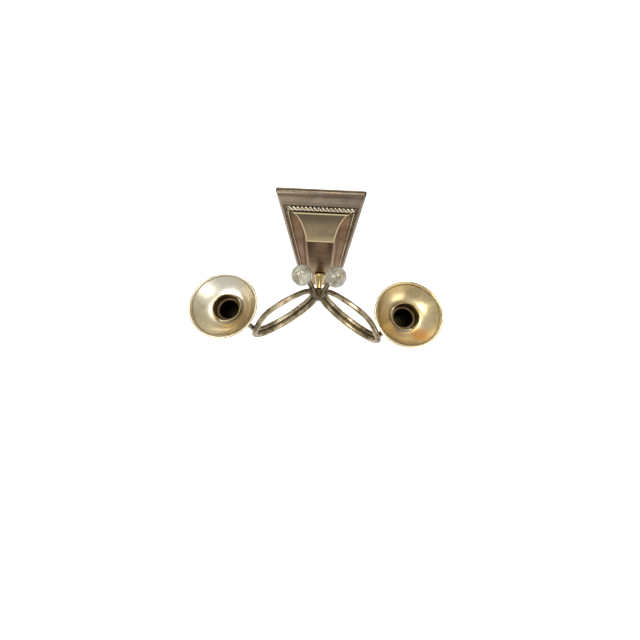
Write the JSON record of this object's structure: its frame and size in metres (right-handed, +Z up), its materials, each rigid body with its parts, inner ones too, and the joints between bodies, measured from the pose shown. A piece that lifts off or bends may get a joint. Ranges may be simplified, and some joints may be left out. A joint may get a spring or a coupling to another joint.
{
  "type": "two-arm wall candelabrum",
  "caption": "Wall candelabrum: tapered plate with rope trim, apron and horn bracket, looped rod arms, glass balls, drip bowls and candle cups.",
  "frame": {"origin": "middle of the back plate's rear face, on the wall", "axes": "+Z up, +X to the right for someone facing the wall, +Y into the wall, so the arms reach out along -Y"},
  "size_m": [0.2786, 0.157, 0.222],
  "materials": {
    "plate_brass": "aged brownish brass, brushed along X on the header",
    "copper_sheet": "aged copper with upright grain",
    "bright_brass": "polished gold brass",
    "apron_brass": "satin grey-gold brass",
    "tarnished_rod": "tarnished brass with rubbed highlights",
    "brazed_brass": "dark brazed joint",
    "bowl_brass": "pale aged brass",
    "sleeve_brass": "sooted brass",
    "clear_glass": "clear cast glass"
  },
  "bodies": {
    "sconce": {"back_plate": "plate_brass", "plate_frame": "plate_brass", "copper_panel": "copper_sheet", "panel_bead_left": "bright_brass", "panel_bead_right": "bright_brass", "rope_wire_a": "bright_brass", "rope_wire_b": "bright_brass", "rope_pin_left": "brazed_brass", "rope_pin_right": "brazed_brass", "apron": "apron_brass", "bracket_channel": "apron_brass", "horn": "bright_brass", "horn_nut": "bright_brass", "arm_left": "tarnished_rod", "arm_right": "tarnished_rod", "arm_knuckle": "brazed_brass", "ball_seat_left": "tarnished_rod", "ball_seat_right": "tarnished_rod", "ball_pin_left": "tarnished_rod", "ball_pin_right": "tarnished_rod", "glass_ball_left": "clear_glass", "glass_ball_right": "clear_glass", "drip_bowl_left": "bowl_brass", "drip_bowl_right": "bowl_brass", "candle_cup_left": "bowl_brass", "candle_cup_right": "bowl_brass", "stem_collar_left": "bowl_brass", "stem_collar_right": "bowl_brass"},
    "left_sleeve": {"candle_sleeve_left": "sleeve_brass"},
    "right_sleeve": {"candle_sleeve_right": "sleeve_brass"}
  },
  "joints": [
    {"name": "left_sleeve_lift", "type": "slide", "parent": "sconce", "child": "left_sleeve", "axis": [0, 0, 1], "range_m": [0, 0.03]},
    {"name": "right_sleeve_lift", "type": "slide", "parent": "sconce", "child": "right_sleeve", "axis": [0, 0, 1], "range_m": [0, 0.03]}
  ]
}
